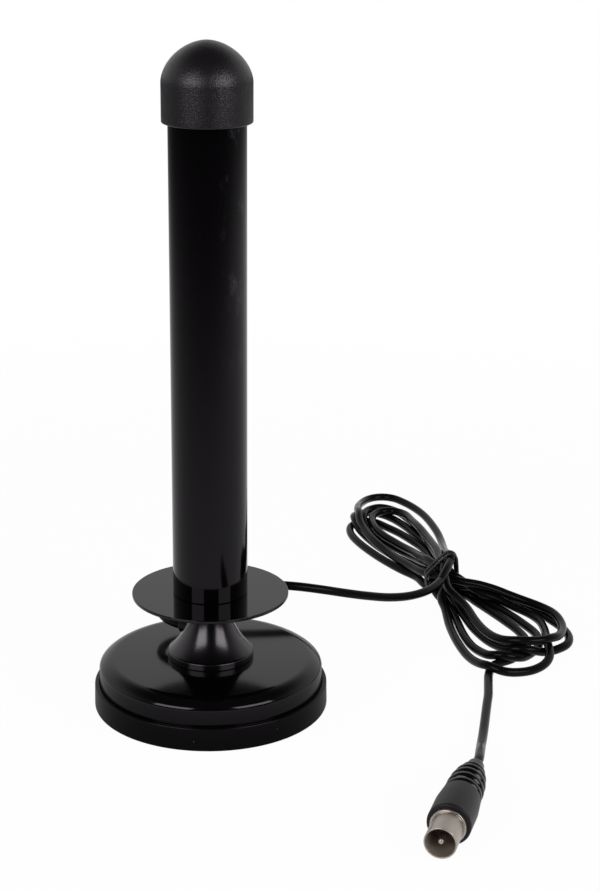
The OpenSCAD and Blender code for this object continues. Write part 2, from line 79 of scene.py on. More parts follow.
# One row per turn, from the top of the hank down: where it rises and falls through the waist, and
# the plan of its upper loop, from its right side to its left, and of its lower loop, from its far
# side to its near side
RISE = [(90.4, 83), (88.7, 83), (90.7, 83), (87.3, 83), (85.9, 83)]
FALL = [(88.2, 82.5), (88.6, 84), (87.4, 84), (88.8, 84.5), (86.6, 83.5)]
UPPER = [
    [(91, 94.1), (95.4, 133.9), (94.7, 151), (92.1, 166.1), (87.2, 178.3), (81.2, 186),
     (74.5, 185.8), (69.5, 178.6), (65.4, 158.9), (64.8, 149.6), (66.1, 141.4), (68.4, 131.5),
     (71.8, 121.3), (75.7, 110.1), (79.5, 99.1), (82.9, 89.4)],
    [(89.6, 96.9), (89.1, 111.6), (88, 127.2), (85.9, 145.5), (84, 157.4), (79.6, 163.4),
     (75, 162.8), (71.4, 157), (70.4, 151.4), (70.6, 142.9), (73, 134), (77, 125.3),
     (81.2, 114.3), (84.1, 97.7)],
    [(90, 106.4), (89.4, 122.9), (87.8, 139), (85.6, 157.1), (81.8, 165.7), (77.2, 167.6),
     (72.6, 166.8), (68.9, 162.7), (67.2, 154.9), (68.5, 148.5), (72, 138), (76.6, 127.9),
     (81.3, 119.6), (85, 105.8)],
    [(90.7, 113.1), (89.4, 130.3), (86.4, 142.6), (83, 152.9), (79.3, 161.1), (74.8, 167.3),
     (70.4, 170.2), (66.1, 167), (63.7, 155.3), (64.2, 149), (66.8, 140.5), (70.5, 128.9),
     (75.1, 119), (79.8, 111.4), (84, 101.1)],
    [(89.9, 115.4), (87.6, 126.1), (84.2, 135), (80.2, 144.1), (76, 151.1), (72, 157.6),
     (68, 160.4), (64.1, 158), (61.7, 152), (61.3, 144.2), (63.1, 135.3), (66.9, 124.3),
     (71.4, 114.1), (76.3, 105), (80.9, 97.7)],
]
LOWER = [
    [(94.1, 75.9), (100.2, 73), (106.8, 69), (113.4, 64.9), (119, 60.2), (122.9, 54),
     (124.3, 45.4), (122.8, 36.6), (117.9, 26.4), (112.9, 23.5), (107.3, 22.9), (102.5, 24.6),
     (98.9, 29.8), (96.2, 37.9), (94.3, 47.5), (92.9, 56.6), (90.7, 63.4), (88.3, 69)],
    [(95.6, 77.8), (101, 72.5), (106.8, 68.2), (111.5, 64.1), (115.8, 59.9), (118.3, 54),
     (118.6, 46.4), (116.9, 35.2), (115.7, 25.9), (115.3, 20.2), (112.8, 15.2), (108.2, 11.1),
     (103.1, 8.8), (97.7, 7.4), (92.8, 8), (90, 16.9), (87.7, 27.8), (86.4, 39), (86, 52.5),
     (86.2, 63.4), (85.7, 69.9)],
    [(97.3, 80.8), (102.3, 73.9), (108.7, 72.2), (114.3, 68.7), (118.9, 62.5), (122.4, 54.5),
     (125.1, 46.8), (125.9, 38.8), (123.9, 32.5), (119.6, 28.6), (113.7, 25.3), (106.8, 20.2),
     (102.4, 23.9), (99.3, 31.5), (96.5, 39.1), (94.3, 47.1), (92.6, 56.2), (90.9, 63.6),
     (89.1, 70.6)],
    [(97.1, 83.8), (101.1, 76.9), (105.1, 68.1), (109, 59.6), (112.4, 50.7), (115, 42.2),
     (114.9, 34.4), (111.5, 27.9), (106.4, 23), (100.4, 16.8), (96.1, 17.2), (93.2, 25.8),
     (90.8, 34.3), (89.6, 43.9), (89.3, 55.5), (89, 67.4), (88.6, 76.4)],
    [(95.4, 80.1), (98.9, 72.3), (102.5, 63.7), (106, 54.8), (109, 46.1), (110.5, 37.3),
     (109.3, 28.8), (105.7, 22.4), (101.8, 19.8), (98.2, 19.2), (95.1, 16.6), (93, 11.5)],
]


# ---- shader maths ----


def method_for(operation, reflected=False):
    """A method that adds a Math node for a wire and another value, in reverse if it is reflected."""

    def method(wire, other):
        return wire.paint.maths(operation, *((other, wire) if reflected else (wire, other)))

    return method


class Wire:
    """A socket in shader maths. An expression on wires adds the Math nodes that work it out."""

    def __init__(self, paint, socket):
        self.paint, self.socket = paint, socket

    __add__, __radd__ = method_for("ADD"), method_for("ADD", True)
    __sub__, __rsub__ = method_for("SUBTRACT"), method_for("SUBTRACT", True)
    __mul__, __rmul__ = method_for("MULTIPLY"), method_for("MULTIPLY", True)
    __truediv__, __rtruediv__ = method_for("DIVIDE"), method_for("DIVIDE", True)
    __lt__ = method_for("LESS_THAN")


class Paint:
    """One material's nodes, made through node() and through expressions on wires."""

    def __init__(self, tree):
        self.tree = tree
        tree.nodes.clear()

    def node(self, kind, settings=(), inputs=()):
        """A shader node of that type: its settings first, then its sockets' values or links."""
        made = self.tree.nodes.new("ShaderNode" + kind)
        for key, value in dict(settings).items():
            setattr(made, key, value)
        for key, value in dict(inputs).items():
            socket = made.inputs[key]
            if isinstance(value, Wire):
                self.tree.links.new(value.socket, socket)
            else:
                socket.default_value = value
        return made

    def out(self, made, key=0):
        return Wire(self, made.outputs[key])

    def maths(self, operation, *values):
        return self.out(self.node("Math", {"operation": operation}, enumerate(values)))

    def smooth(self, wire, low, high):
        """0 below low, 1 above high, and an S curve between."""
        settings = {"interpolation_type": "SMOOTHSTEP"}
        inputs = {"Value": wire, "From Min": low, "From Max": high}
        return self.out(self.node("MapRange", settings, inputs))

    def mix(self, factor, first, second):
        """A colour from first to second."""
        settings = {"data_type": "RGBA"}
        return self.out(self.node("Mix", settings, {0: factor, 6: first, 7: second}), 2)

    def place(self, source="Object", scale=(1, 1, 1)):
        """Object coordinates or the piece's UV map, stretched by scale."""
        where = self.out(self.node("TexCoord"), source)
        return self.out(self.node("Mapping", {}, {"Vector": where, "Scale": scale}))

    def axes(self, vector):
        made = self.node("SeparateXYZ", {}, {0: vector})
        return [self.out(made, axis) for axis in range(3)]

    def noise(self, vector, scale, detail, rough=0.5):
        inputs = {"Vector": vector, "Scale": scale, "Detail": detail, "Roughness": rough}
        return self.out(self.node("TexNoise", {}, inputs))

    def specks(self, vector, scale, size, share):
        """Round specks of that size in a share of the cells of a Voronoi pattern."""
        made = self.node("TexVoronoi", {}, {"Vector": vector, "Scale": scale})
        pick = self.axes(self.out(made, "Color"))[0]
        near = 1.0 - self.smooth(self.out(made, "Distance"), size * 0.5, size)
        return near * (pick < share)

    def bump(self, height, distance, strength):
        inputs = {"Height": height, "Distance": distance, "Strength": strength}
        return self.out(self.node("Bump", {}, inputs))

    def surface(self, **sockets):
        """The finished shader; a socket's name is written with underscores."""
        inputs = {key.replace("_", " "): value for key, value in sockets.items()}
        shader = self.out(self.node("BsdfPrincipled", {}, inputs))
        self.node("OutputMaterial", {}, {"Surface": shader})


def material(name):
    made = bpy.data.materials.new(name)
    made.use_nodes = True
    return made, Paint(made.node_tree)


def dress(names, made):
    """Gives the finish to the named CAD nodes, which keep their own meshes."""
    for name in names:
        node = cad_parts[name]
        if not node.data.materials:
            node.data.materials.append(made)
        for slot in node.material_slots:
            slot.material = made


def rgba(colour, gain=1.0):
    return (colour[0] * gain, colour[1] * gain, colour[2] * gain, 1.0)


# ---- shapes ----

CURVE_SAMPLES = 6000
ON_CURVE = -0.94  # cosine between a corner's two sides, below which it is a point of a curve
HAIR = 0.04  # rounding of a sharp corner, in millimetres
SUPPORT = 0.3  # distance from a rounding to its supporting point, as a share of the rounding
ON_AXIS = 1e-6


def smooth_line(points, spacing):
    """A cubic Hermite curve through points, with knots at the square roots of their distances, cut
    to an even spacing."""
    knots = np.asarray(points, float)
    steps = np.sqrt(np.linalg.norm(np.diff(knots, axis=0), axis=1))
    at = np.concatenate([[0], np.cumsum(steps)])
    slope = np.gradient(knots, at, axis=0)
    s = np.linspace(0, at[-1], CURVE_SAMPLES)
    k = np.clip(np.searchsorted(at, s, "right") - 1, 0, len(knots) - 2)
    h = (at[k + 1] - at[k])[:, None]
    u = (s - at[k])[:, None] / h
    line = (
        (2 * u**3 - 3 * u**2 + 1) * knots[k]
        + (u**3 - 2 * u**2 + u) * h * slope[k]
        + (3 * u**2 - 2 * u**3) * knots[k + 1]
        + (u**3 - u**2) * h * slope[k + 1]
    )
    return even(line, spacing)


def even(line, spacing):
    """The same line cut to steps of an even length."""
    run = np.concatenate([[0], np.cumsum(np.linalg.norm(np.diff(line, axis=0), axis=1))])
    count = max(2, int(round(run[-1] / spacing)) + 1)
    marks = np.linspace(0, run[-1], count)
    return np.stack([np.interp(marks, run, line[:, axis]) for axis in range(3)], axis=1)


def mesh_object(name, verts, faces, uv=None):
    """A mesh from arrays, shaded smooth. uv holds one pair per face corner."""
    mesh = bpy.data.meshes.new(name)
    mesh.from_pydata(verts, [], faces)
    if uv is not None:
        layer = mesh.uv_layers.new(name="along")
        layer.data.foreach_set("uv", np.asarray(uv, np.float32).ravel())
    mesh.polygons.foreach_set("use_smooth", np.ones(len(mesh.polygons), bool))
    mesh.update()
    made = bpy.data.objects.new(name, mesh)
    bpy.context.scene.collection.objects.link(made)
    return made


def tube(name, path, radius, sides, up=(0, 0, 1)):
    """A circle carried along a path: point = path(u) + r (cos v * side + sin v * top), where side
    and top are square to the path and side is square to up. U is the share of the turn and V runs
    along the path in metres. Both ends are closed."""
    count = len(path)
    ahead = np.gradient(path, axis=0)
    ahead /= np.linalg.norm(ahead, axis=1)[:, None]
    side = np.cross(ahead, np.broadcast_to(np.asarray(up, float), path.shape))
    side /= np.linalg.norm(side, axis=1)[:, None]
    top = np.cross(side, ahead)
    angle = np.linspace(0, 2 * math.pi, sides, endpoint=False)
    ring = np.cos(angle)[None, :, None] * side[:, None] + np.sin(angle)[None, :, None] * top[:, None]
    verts = (path[:, None] + radius * ring).reshape(-1, 3)
    i, j = np.meshgrid(np.arange(count - 1), np.arange(sides), indexing="ij")
    after = (j + 1) % sides
    here, there = i * sides, (i + 1) * sides
    quads = np.stack([there + j, there + after, here + after, here + j], axis=-1)
    run = np.concatenate([[0], np.cumsum(np.linalg.norm(np.diff(path, axis=0), axis=1))])
    around = np.stack([j, j + 1, j + 1, j], axis=-1) / sides
    along = np.stack([run[i + 1], run[i + 1], run[i], run[i]], axis=-1)
    uv = np.stack([around, along], axis=-1).reshape(-1, 2)
    first = list(range(sides))
    last = [(count - 1) * sides + k for k in reversed(first)]
    ends = np.repeat([[0.5, 0.0], [0.5, run[-1]]], sides, axis=0)
    faces = quads.reshape(-1, 4).tolist() + [first, last]
    return mesh_object(name, verts, faces, np.concatenate([uv, ends]))


def arc(x, z, radius, start, stop, count):
    """Corners on an arc about (x, z) from one angle to another, in degrees, none of them rounded."""
    angle = np.radians(np.linspace(start, stop, count))
    return [(a, b, 0.0) for a, b in zip(x + radius * np.cos(angle), z + radius * np.sin(angle))]


def eased(corners, closed=True, steps=6):
    """A line through (r, h, rounding) corners. A corner c becomes (1 - t)^2 a + 2 t (1 - t) c + t^2 b,
    where a and b lie the rounding before and after it, or a hair for a sharp one, and a point of a
    curve stays as it is. One more point on each side keeps the flats flat in the shading."""
    line = []
    count = len(corners)
    t = np.linspace(0, 1, steps)[:, None]
    for k, (r, h, rounding) in enumerate(corners):
        c = np.array([r, h])
        back = np.subtract(corners[k - 1][:2], c)
        on = np.subtract(corners[(k + 1) % count][:2], c)
        gaps = np.linalg.norm(back), np.linalg.norm(on)
        back, on = back / gaps[0], on / gaps[1]
        if not closed and k in (0, count - 1) or back @ on < ON_CURVE or min(gaps) < 0.1:
            line.append(c[None])
            continue
        rounding = rounding or min(HAIR, min(gaps) / 4)
        a, b = c + rounding * back, c + rounding * on
        bend = (1 - t) ** 2 * a + 2 * t * (1 - t) * c + t**2 * b
        line += [(a + SUPPORT * rounding * back)[None], bend, (b + SUPPORT * rounding * on)[None]]
    return np.concatenate(line)


def turned(name, corners, closed=True, sides=160, origin=(0, 0, 0), axis=(0, 0, 1)):
    """A profile turned round an axis: point = origin + r (cos a * e1 + sin a * e2) + h * axis, for the
    corners' eased line of (r, h) in millimetres, where e1, e2 and the axis are square to each other.
    A point on the axis is made once. An open profile starts and ends on the axis. U is the share of
    the turn and V runs along the profile in metres."""
    line = eased(corners, closed)
    axis = np.asarray(axis, float)
    first = np.array([1.0, 0, 0]) if abs(axis[2]) > 0.9 else np.array([0, 0, 1.0])
    second = np.cross(axis, first)
    angle = np.linspace(0, 2 * math.pi, sides, endpoint=False)
    ring = np.cos(angle)[:, None] * first + np.sin(angle)[:, None] * second
    width = np.where(line[:, 0] < ON_AXIS, 1, sides)
    base = np.concatenate([[0], np.cumsum(width)])
    points = [
        np.asarray(origin) + r * ring[:size] * (r > ON_AXIS) + h * axis
        for (r, h), size in zip(line, width)
    ]
    run = np.concatenate([[0], np.cumsum(np.linalg.norm(np.diff(line, axis=0), axis=1))]) * MM
    faces, uv = [], []
    j = np.arange(sides)
    after = (j + 1) % sides
    for k in range(len(line) - (0 if closed else 1)):
        n = (k + 1) % len(line)
        low, high = run[k], run[n] if n else run[k]
        if width[k] > 1 and width[n] > 1:
            block = np.stack([base[k] + j, base[k] + after, base[n] + after, base[n] + j], axis=1)
            spots = [(j, low), (j + 1, low), (j + 1, high), (j, high)]
        elif width[k] > 1:
            block = np.stack([base[k] + j, base[k] + after, np.full(sides, base[n])], axis=1)
            spots = [(j, low), (j + 1, low), (j + 0.5, high)]
        else:
            block = np.stack([np.full(sides, base[k]), base[n] + after, base[n] + j], axis=1)
            spots = [(j + 0.5, low), (j + 1, high), (j, high)]
        faces += block.tolist()
        pairs = [np.column_stack([u / sides, np.full(sides, v)]) for u, v in spots]
        uv.append(np.stack(pairs, axis=1).reshape(-1, 2))
    return mesh_object(name, np.concatenate(points) * MM, faces, np.concatenate(uv))


def stand_for(piece, node, made):
    """Puts the finish on a piece that takes a CAD node's place."""
    piece.data.materials.append(made)
    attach(piece, BODY)
    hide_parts(node)


# ---- the hank ----

NEAR_NECK, NEAR_PLUG = 250, 300  # millimetres of lead in which the hank's first and last point lie
SWEEPS = 260
LASTING = 0.96  # share of a sideways shift that lasts from sweep to sweep
DROP = 0.012  # how far the strands sink in each sweep, in millimetres


def blur(values, reach):
    """Mean under a raised cosine of that reach."""
    weight = np.hanning(2 * reach + 3)[1:-1]
    return np.convolve(np.pad(values, reach, mode="edge"), weight / weight.sum(), "valid")


def highest(values, reach):
    """Greatest value within that reach."""
    padded = np.pad(values, reach, mode="edge")
    return np.lib.stride_tricks.sliding_window_view(padded, 2 * reach + 1).max(axis=1)


def ease(values, times):
    """Moves each value halfway to the mean of its neighbours, that many times."""
    for _ in range(times):
        values[1:-1] += 0.5 * ((values[:-2] + values[2:]) / 2 - values[1:-1])


def unbend(line, free, spacing, least, times):
    """Draws each free point on a bend tighter than the least radius halfway to the middle of its
    neighbours, that many times."""
    for _ in range(times):
        bend = (line[:-2] + line[2:]) / 2 - line[1:-1]
        sharp = free[1:-1] & (np.linalg.norm(bend, axis=1) > spacing**2 / (2 * least))
        line[1:-1][sharp] += 0.5 * bend[sharp]


def hank_plan():
    """Plan points of the whole lead in order, with the height where it is known."""
    points = list(LEAD_IN)
    for k, (rise, fall, upper, lower) in enumerate(zip(RISE, FALL, UPPER, LOWER)):
        level = LEAD_IN[-1][2] if k == 0 else 0
        points.append((*rise, level))
        points += [(x, y, 0) for x, y in [*upper, fall, *lower]]
    return points + LEAD_OUT


def nearest(plan, spot, allowed):
    return np.argmin(np.where(allowed, np.linalg.norm(plan - spot, axis=1), np.inf))


def lay_lead(spacing, thick):
    """The whole lead in millimetres. Its turns are laid from the last to the first, each as high as
    those under it make it: z = z below + sqrt(thick^2 - plan gap^2). Then, in each sweep, strands
    that touch part by equal shares, drop a little and straighten."""
    line = smooth_line(hank_plan(), spacing)
    count = len(line)
    order = np.arange(count)
    plan = line[:, :2]
    start = nearest(plan, LEAD_IN[-2][:2], order <= NEAR_NECK / spacing)
    tail = nearest(plan, LEAD_OUT[0][:2], order >= count - NEAR_PLUG / spacing)
    free = (order >= start) & (order < tail)
    height = line[:, 2].copy()
    line[:, 2] = 0
    margin, least = 12, 2.6 * thick
    unbend(line, (order >= start - margin) & (order < tail + margin), spacing, least, 1500)
    floor = thick / 2
    height[start:tail] = floor
    crossed = (plan[:-1, 1] - WAIST[1]) * (plan[1:, 1] - WAIST[1]) <= 0
    cuts = np.nonzero(crossed & (abs(plan[:-1, 0] - WAIST[0]) < WAIST_REACH) & free[:-1])[0]
    bounds = [start, *cuts, tail]
    reach, skip = 5, 4
    for a, b in zip(bounds[-2::-1], bounds[:0:-1]):
        gap = np.linalg.norm(plan[a:b, None] - plan[None, b + skip :], axis=2)
        over = height[None, b + skip :] + np.sqrt(np.maximum(thick**2 - gap**2, 0))
        lift = np.where(gap < thick, over, floor).max(axis=1)
        lift = np.concatenate([lift, height[b : b + 2 * reach]])
        height[a:b] = np.maximum(blur(highest(lift, reach), reach)[: b - a], floor)
    home = np.column_stack([plan, height])
    near = np.linalg.norm(plan[:, None] - plan[None], axis=2) < 7
    i, j = np.nonzero(np.triu(near, 5))
    moving = free[i] | free[j]
    i, j = i[moving], j[moving]
    apart = thick * 1.005
    shift = np.zeros_like(home)
    window = slice(start - 1, tail + 1)
    for _ in range(SWEEPS):
        at = home + shift
        for _ in range(2):
            gap = at[j] - at[i]
            size = np.linalg.norm(gap, axis=1)
            hit = size < apart
            a, b, size = i[hit], j[hit], np.maximum(size[hit], 1e-6)
            push = gap[hit] * ((apart - size) / (2 * size))[:, None]
            move, met = np.zeros_like(at), np.zeros(count)
            np.add.at(move, a, -push)
            np.add.at(move, b, push)
            np.add.at(met, a, 1)
            np.add.at(met, b, 1)
            at += move / np.maximum(1, met / 3)[:, None]
            at[:, 2] = np.maximum(at[:, 2], floor)
            at[~free] = home[~free]
        unbend(at, free, spacing, least, 8)
        shift = at - home
        shift[:, :2] *= LASTING
        ease(shift[window, :2], 2)
        level = at[:, 2].copy()
        level[free] -= DROP
        ease(level[window], 3)
        shift[:, 2] = level - home[:, 2]
        shift[~free] = 0
    line = home + shift
    unbend(line, free, spacing, 2.4 * thick, 20)
    for axis in range(3):
        ease(line[window, axis], 3)
    line[:, 2] = np.maximum(line[:, 2], np.where(free, floor, 0))
    return line


# ---- settings ----


def length(name, description, default):
    return FloatProperty(
        name=name, description=description, default=default, unit="LENGTH", precision=5
    )


def angle(name, description, degrees):
    return FloatProperty(
        name=name, description=description, default=math.radians(degrees), subtype="ANGLE"
    )


def colour(name, description, default):
    return FloatVectorProperty(name=name, description=description, default=default, subtype="COLOR")


def spot(name, description, default):
    return FloatVectorProperty(
        name=name, description=description, default=default, subtype="TRANSLATION"
    )


class AntennaLeadSettings(bpy.types.PropertyGroup):
    diameter: length("Lead diameter", "Outside diameter of the coaxial lead", 0.003)
    length: length("Lead length", "Length of the lead from the neck to the plug", 1.9)
    step: length("Step", "Spacing at which the hank is settled", 0.001)
    ring: length("Ring spacing", "Distance between the rings of the lead's mesh", 0.0006)
    sides: IntProperty(
        name="Lead sides", description="Points round the lead", default=20, min=8, max=48
    )
    jacket: colour("Jacket colour", "Colour of the lead's jacket", (0.0032, 0.0028, 0.0033))


class AntennaBaseSettings(bpy.types.PropertyGroup):
    boot_radius: length("Boot radius", "Radius of the rubber boot at the floor", 0.0375)
    boot_lean: length("Boot lean", "How far the boot's wall leans in", 0.00015)
    boot_height: length("Boot height", "Height of the rubber boot", 0.0077)
    boot_floor: length("Boot floor", "Thickness of the boot's floor", 0.0015)
    boot_slip: length("Boot slip", "Gap between the cover and the boot's wall", 0.0001)
    cover_radius: length("Cover radius", "Radius of the steel cover", 0.0358)
    cover_wall: length("Cover wall", "Thickness of the steel cover", 0.0012)
    crown_top: length("Crown top", "Height at which the crown meets the mast's axis", 0.0162)
    crown_radius: length("Crown radius", "Radius of the cover's nearly flat middle", 1.4)
    crown_flat: length("Crown flat", "How far out the nearly flat middle goes", 0.0308)
    shoulder_radius: length("Shoulder radius", "Radius of the cover's shoulder", 0.0065)
    edge_radius: length("Edge radius", "Rounding between the shoulder and the wall", 0.0022)
    foot_radius: length("Neck foot radius", "Radius of the neck's foot", 0.01375)
    foot_height: length("Neck foot height", "Height of the neck's foot under its rounding", 0.00185)
    throat_radius: length("Neck throat radius", "Radius of the neck under the disc", 0.0059)
    flare_radius: length("Neck flare radius", "Radius of the neck's trumpet curve", 0.024)
    disc_radius: length("Disc radius", "Radius of the disc", 0.0249)
    disc_top: length("Disc top", "Height of the disc's top", 0.0382)
    disc_height: length("Disc thickness", "Thickness of the disc", 0.001)


class AntennaMastSettings(bpy.types.PropertyGroup):
    tube_radius: length("Tube radius", "Radius of the mast tube", 0.01185)
    tube_wall: length("Tube wall", "Wall of the mast tube", 0.0015)
    cap_radius: length("Cap radius", "Radius of the end cap", 0.01375)
    cap_rim: length("Cap rim", "Height of the end cap's rim", 0.188)
    cap_skirt: length("Cap skirt", "Length of the cap's straight wall", 0.0118)
    cap_dome: length("Cap dome", "Height of the cap's dome", 0.0124)
    cap_bulge: FloatProperty(
        name="Cap bulge", description="Exponent of the dome's curve, 2 for an ellipse", default=1.8
    )
    cap_grip: length("Cap grip", "How far the tube stands in the cap", 0.008)


class AntennaPlugSettings(bpy.types.PropertyGroup):
    mouth: spot("Mouth", "Middle of the shell's mouth", (0.0583, -0.1107, 0.0065))
    turn: angle("Turn", "Turn of the plug from the X axis", 69)
    shell_radius: length("Shell radius", "Radius of the contact shell", 0.00475)
    shell_wall: length("Shell wall", "Wall of the contact shell", 0.00045)
    shell_length: length("Shell length", "Length of shell before the body", 0.011)
    collar_radius: length("Collar radius", "Radius of the shell's collar", 0.0053)
    collar_width: length("Collar width", "Width of the shell's collar", 0.0013)
    body_radius: length("Body radius", "Radius of the body at its front", 0.0065)
    body_rear: length("Body rear radius", "Radius of the body at its rear", 0.0059)
    body_length: length("Body length", "Length of the moulded body", 0.0165)
    ring_radius: length("Ring radius", "Radius of the largest ring", 0.00575)
    ring_end: length("Last ring radius", "Radius of the smallest ring", 0.0039)
    ring_pitch: length("Ring pitch", "Distance from ring to ring", 0.0035)
    groove: length("Groove", "Depth of the grooves", 0.001)
    rings: IntProperty(name="Rings", description="Rings on the strain relief", default=5, min=3, max=6)
    tail: length("Tail", "Length of the strain relief's tail", 0.0043)


class AntennaFinishSettings(bpy.types.PropertyGroup):
    gloss: colour("Gloss black", "Painted steel and the polished tube", (0.0012, 0.0009, 0.0012))
    satin: colour("Satin black", "Rubber and satin paint", (0.0016, 0.0013, 0.0016))
    grained: colour("Grained black", "The cap's grained moulding", (0.005, 0.0043, 0.0051))
    body: colour("Body black", "The plug body's moulding", (0.0085, 0.0074, 0.0084))
    nickel: colour("Dull nickel", "The plug's plating", (0.44, 0.39, 0.345))
    # colour of the painted shade inside the plug's shell
    shell_shade: colour("Tarnish", "Brown film inside the shell", (0.26, 0.2, 0.16))
    dust: colour("Dust", "Dust specks", (0.3, 0.3, 0.31))


class AntennaStudioSettings(bpy.types.PropertyGroup):
    lens: FloatProperty(name="Lens", description="Focal length", default=84.753)
    sensor: FloatProperty(name="Sensor height", description="Height of the sensor", default=36.0)
    pitch: angle("Pitch", "How far the camera looks down", 18.321)
    roll: angle("Roll", "Turn about the view", 0.429)
    yaw: angle("Yaw", "Turn of the view to the right", 5.015)
    place: spot("Camera", "Where the camera stands", (-0.02619, -0.62142, 0.29275))
    floor: length("Floor size", "Side of the floor", 9.0)
    floor_colour: colour("Floor colour", "Colour of the floor", (0.95, 0.95, 0.95))
    fill: FloatProperty(name="Fill", description="Strength of the room's light", default=0.336)
    lamp_side: angle("Lamp side", "How far each lamp stands to its side", 42)
    lamp_rise: angle("Lamp rise", "How high each lamp stands", 23)
    lamp_distance: length("Lamp distance", "From the object to each lamp", 1.1)
    lamp_width: length("Lamp width", "Width of each lamp", 0.72)
    lamp_height: length("Lamp height", "Height of each lamp", 0.5)
    lamp_power: FloatProperty(
        name="Lamp power", description="Power of each lamp", subtype="POWER", default=6.2
    )


# ---- operators ----


class Step:
    """An operator whose build() adds its part of the model to the scene."""

    def execute(self, context):
        self.build(context.scene)
        return {"FINISHED"}


class ANTENNA_OT_camera(Step, bpy.types.Operator):
    """Sets up the camera at the photograph's angle"""

    bl_idname = "antenna.camera"
    bl_label = "Camera"

    def build(self, scene):
        studio = scene.antenna_studio
        cos_p, sin_p = math.cos(studio.pitch), math.sin(studio.pitch)
        ahead = Vector((math.sin(studio.yaw) * cos_p, math.cos(studio.yaw) * cos_p, -sin_p))
        right = Vector((math.cos(studio.yaw), -math.sin(studio.yaw), 0))
        above = right.cross(ahead)
        cos_r, sin_r = math.cos(studio.roll), math.sin(studio.roll)
        turned_right = right * cos_r + above * sin_r
        turned_above = above * cos_r - right * sin_r
        data = bpy.data.cameras.new("camera")
        data.sensor_fit = "VERTICAL"
        data.sensor_height = studio.sensor
        data.lens = studio.lens
        data.clip_start, data.clip_end = 0.01, 50
        camera = bpy.data.objects.new("camera", data)
        scene.collection.objects.link(camera)
        matrix = Matrix((turned_right, turned_above, -ahead)).transposed().to_4x4()
        matrix.translation = Vector(studio.place)
        camera.matrix_world = matrix
        scene.camera = camera


class ANTENNA_OT_lead(Step, bpy.types.Operator):
    """Lays the lead, its tied hank and its run to the plug as one cord"""

    bl_idname = "antenna.lead"
    bl_label = "Lead"

    def build(self, scene):
        sizes = scene.antenna_lead
        path = smooth_line(lay_lead(sizes.step / MM, sizes.diameter / MM), sizes.ring / MM) * MM
        lead = tube("lead", path, sizes.diameter / 2, sizes.sides)
        made, paint = material("lead_jacket")
        uv = paint.place("UV", (6, 120, 1))
        where = paint.place()
        streak = paint.noise(uv, 3.0, 4.0, 0.6)
        wander = paint.noise(where, 60.0, 3.0)
        fine = paint.noise(where, 2600.0, 2.0)
        paint.surface(
            Base_Color=paint.mix(wander, rgba(sizes.jacket, 0.8), rgba(sizes.jacket, 1.3)),
            Roughness=0.17 + 0.08 * streak + 0.05 * wander, Specular_IOR_Level=0.08,
            Normal=paint.bump(wander + 0.02 * fine, 0.00001, 0.4),
        )
        lead.data.materials.append(made)
        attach(lead, BODY)
        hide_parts("lead_in_cord", "cord_hank", "lead_out_cord")
        tie = self.tie(path)

    def tie(self, path):
        """A thin wire tie wound round the waist's outline: the outline's reach in each direction is the
        strands' highest reach plus the lead's and the wire's radius."""
        line = path / MM
        level = WAIST[1]
        radius = 1.5
        wire = 0.5
        crossing = np.nonzero((line[:-1, 1] - level) * (line[1:, 1] - level) < 0)[0]
        centres = line[crossing][:, [0, 2]]
        centres = centres[abs(centres[:, 0] - WAIST[0]) < WAIST_REACH]
        turns = 2.2
        angle = np.linspace(math.radians(-60), math.radians(-60 + 360 * turns), 260)
        look = np.linspace(0, 2 * math.pi, 361)
        facing = np.column_stack([np.cos(look), np.sin(look)])
        reach = (centres @ facing.T).max(axis=0) + radius + wire
        slope = np.gradient(reach, look)
        hull = reach[:, None] * facing + slope[:, None] * np.column_stack([-facing[:, 1], facing[:, 0]])
        turn = np.mod(angle, 2 * math.pi)
        x = np.interp(turn, look, hull[:, 0])
        z = np.maximum(np.interp(turn, look, hull[:, 1]), wire)
        width = 6
        y = level - width / 2 + width * (angle - angle[0]) / (angle[-1] - angle[0])
        ring = np.column_stack([x, y, z])
        ring = smooth_line(ring[::6], 0.5)
        tie = tube("tie", ring * MM, wire * MM, 12, (0, 1, 0))
        made, paint = material("tie_cover")
        where = paint.place()
        fine = paint.noise(where, 900.0, 3.0)
        paint.surface(
            Base_Color=paint.mix(fine, (0.006, 0.006, 0.0065, 1), (0.012, 0.0115, 0.0125, 1)),
            Roughness=0.3 + 0.15 * fine,
            Normal=paint.bump(fine, 0.00003, 0.5),
        )
        tie.data.materials.append(made)
        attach(tie, BODY)
        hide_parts("twist_tie")
        return tie


def black(
    name, tone, rough, wander=0.05, grain=1400.0, depth=0.00002, dust=0.0, size=0.06, smear=0.0,
    level=0.2,
):
    """A black surface: slow changes of gloss, a fine grain, dust in single specks, and smears of
    handling on the right and high up."""
    made, paint = material(name)
    where = paint.place()
    slow = paint.noise(where, 35.0, 3.0)
    fine = paint.noise(where, grain, 2.0)
    base = paint.mix(slow, rgba(tone, 0.85), rgba(tone, 1.15))
    roughness = rough + wander * (slow - 0.5) + 0.03 * (fine - 0.5)
    if smear:
        cloud = paint.noise(paint.place(scale=(1.0, 1.0, 0.5)), 170.0, 5.0, 0.7)
        rubbed = paint.smooth(cloud, 0.5, 0.75)
        side, _, high = paint.axes(where)
        rubbed = rubbed * paint.smooth(side, 0.002, 0.009) * paint.smooth(high, 0.1, 0.16)
        base = paint.mix(rubbed * smear, base, rgba((0.045, 0.042, 0.045)))
        roughness = roughness + 0.16 * smear * rubbed
    if dust:
        speck = paint.specks(where, 420.0, size, dust)
        base = paint.mix(speck, base, rgba(bpy.context.scene.antenna_finish.dust))
        roughness = roughness + 0.5 * speck
    paint.surface(
        Base_Color=base, Roughness=roughness, Specular_IOR_Level=level,
        Specular_Tint=(1.0, 0.92, 1.0, 1.0), Normal=paint.bump(fine, depth, 0.6),
    )
    return made


